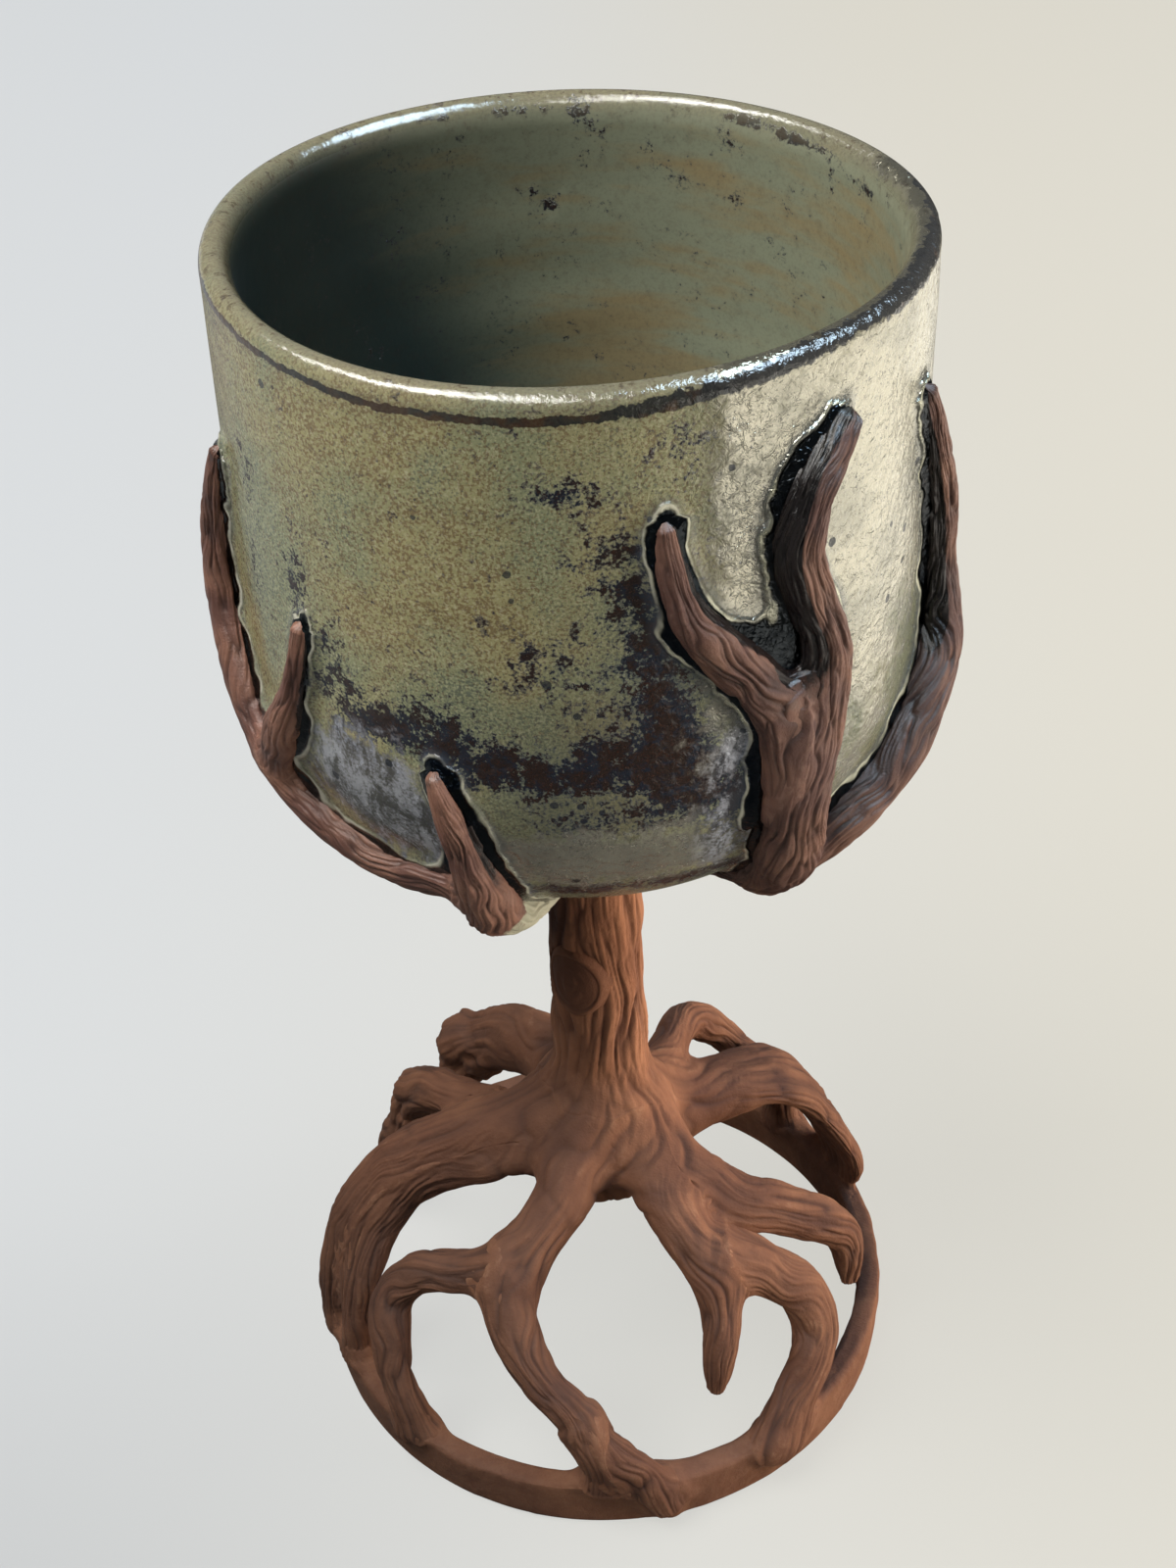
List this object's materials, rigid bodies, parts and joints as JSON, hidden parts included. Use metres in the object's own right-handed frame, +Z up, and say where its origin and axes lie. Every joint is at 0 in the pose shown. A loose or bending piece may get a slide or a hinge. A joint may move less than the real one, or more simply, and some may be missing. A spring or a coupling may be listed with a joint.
{
  "type": "ceramic chalice",
  "caption": "Stoneware chalice: a glazed round bowl held by relief branches, on a bark-textured trunk whose roots arch down to an open foot ring. It holds a drink and stands on the ring.",
  "frame": {"origin": "centre of the foot ring's underside, on the surface that the chalice stands on", "axes": "+Z up through the foot ring and the bowl, -Y towards the front that the picture shows, +X to its right"},
  "size_m": [0.0986, 0.0979, 0.1982],
  "materials": {
    "glaze": "semi-gloss olive green stoneware glaze with rust speckle and blue-black patches",
    "bark": "dark purple-brown fired clay with carved bark grooves, partly under the glaze",
    "stoneware": "unglazed red-brown stoneware with carved bark grooves"
  },
  "bodies": {
    "root": {"bowl": "glaze", "branch_front_low": "bark", "branch_left": "bark", "branch_left_fork": "bark", "branch_front": "bark", "branch_front_fork": "bark", "branch_right": "bark", "branch_back_right": "bark", "branch_back": "bark", "branch_back_fork": "bark", "branch_back_left": "bark", "trunk": "stoneware", "trunk_knot": "stoneware", "foot_ring": "stoneware", "root_left": "stoneware", "root_left_inner": "stoneware", "root_left_knob": "stoneware", "root_back_left": "stoneware", "root_front_left": "stoneware", "root_front_toe": "stoneware", "root_front_left_side": "stoneware", "root_front_right": "stoneware", "root_front_right_side": "stoneware", "root_right": "stoneware", "root_back_right": "stoneware", "root_back_loop": "stoneware"}
  },
  "joints": []
}
